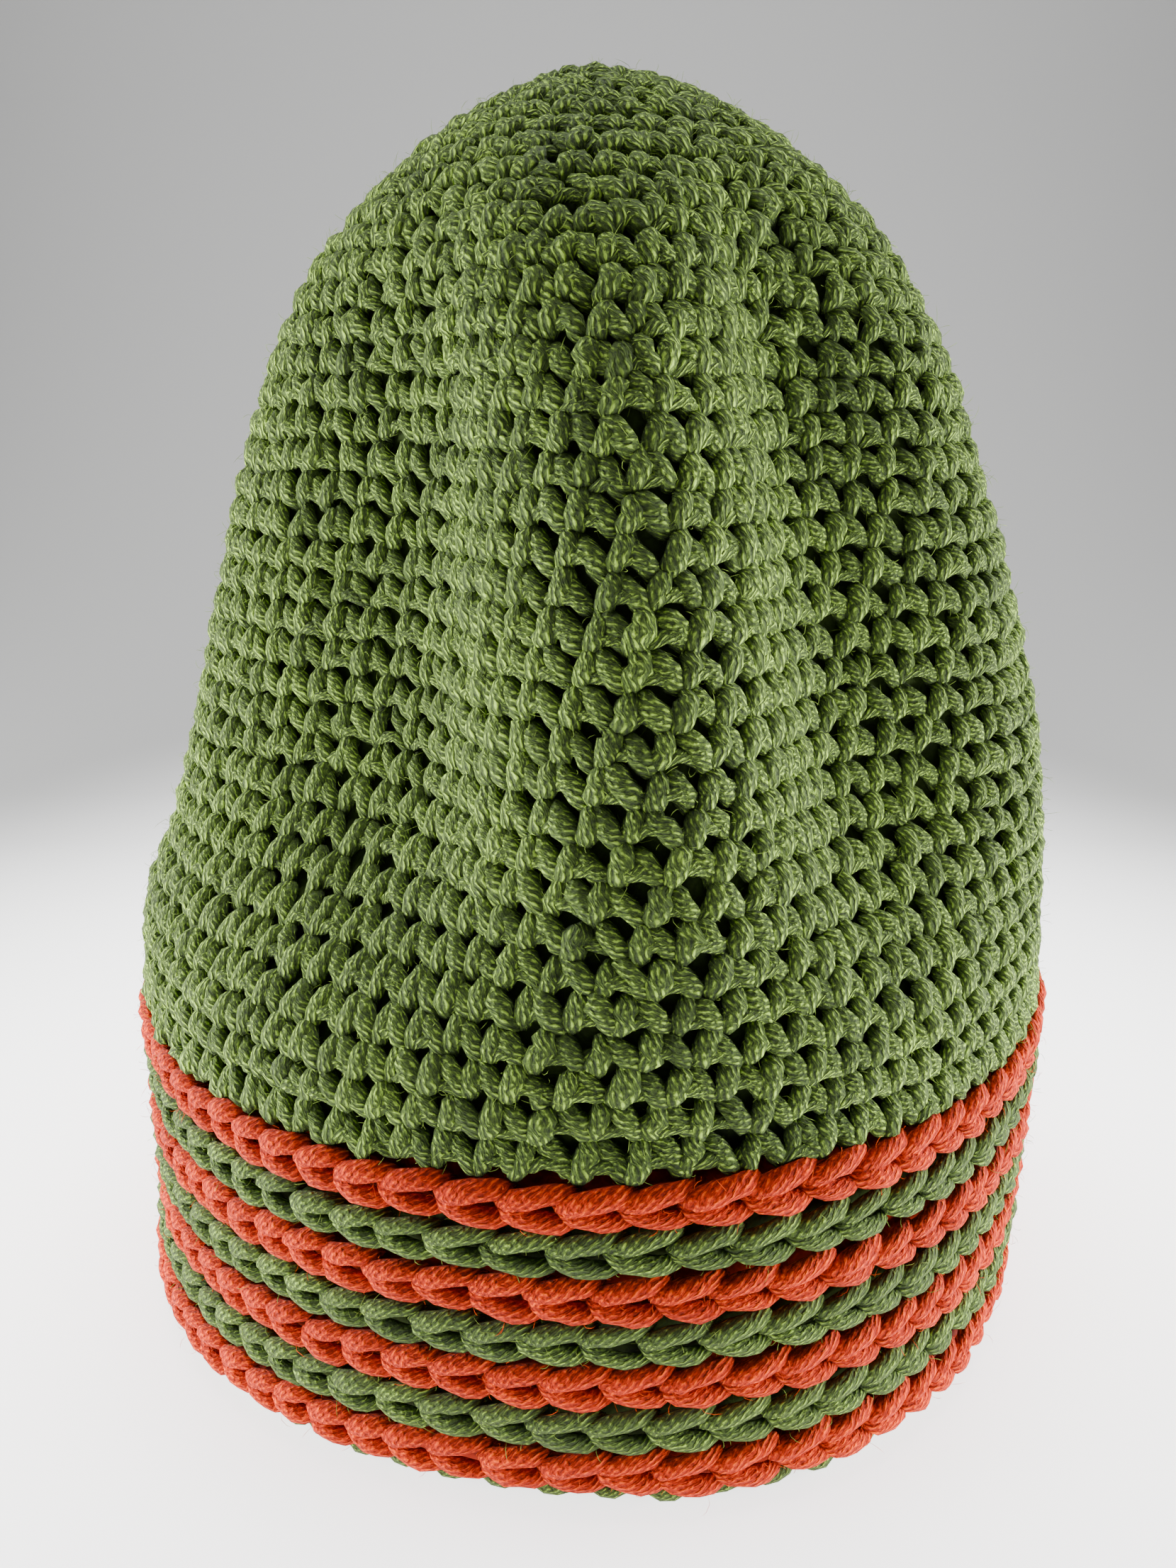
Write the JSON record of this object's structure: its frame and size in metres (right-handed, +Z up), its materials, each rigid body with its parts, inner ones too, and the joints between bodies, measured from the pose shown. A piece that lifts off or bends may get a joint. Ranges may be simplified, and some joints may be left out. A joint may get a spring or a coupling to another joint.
{
  "type": "beanie",
  "caption": "Crocheted beanie: a tall lobed dome in green yarn over a band of raised orange and green rounds, hollow and open at the rim.",
  "frame": {"origin": "on the floor, under the middle of the hat's whole width and depth as it stands on its rim", "axes": "+Z up from the rim to the top of the crown, -Y towards the front that the picture shows, +X towards that view's right"},
  "size_m": [0.1682, 0.1706, 0.2072],
  "materials": {
    "green_yarn": "matte worsted yarn, slightly fuzzy",
    "orange_yarn": "matte worsted yarn, slightly fuzzy"
  },
  "bodies": {
    "root": {"crown": "green_yarn", "orange_round_1": "orange_yarn", "green_round_1": "green_yarn", "orange_round_2": "orange_yarn", "green_round_2": "green_yarn", "orange_round_3": "orange_yarn", "green_round_3": "green_yarn", "orange_round_4": "orange_yarn", "hem_round": "green_yarn"}
  },
  "joints": []
}
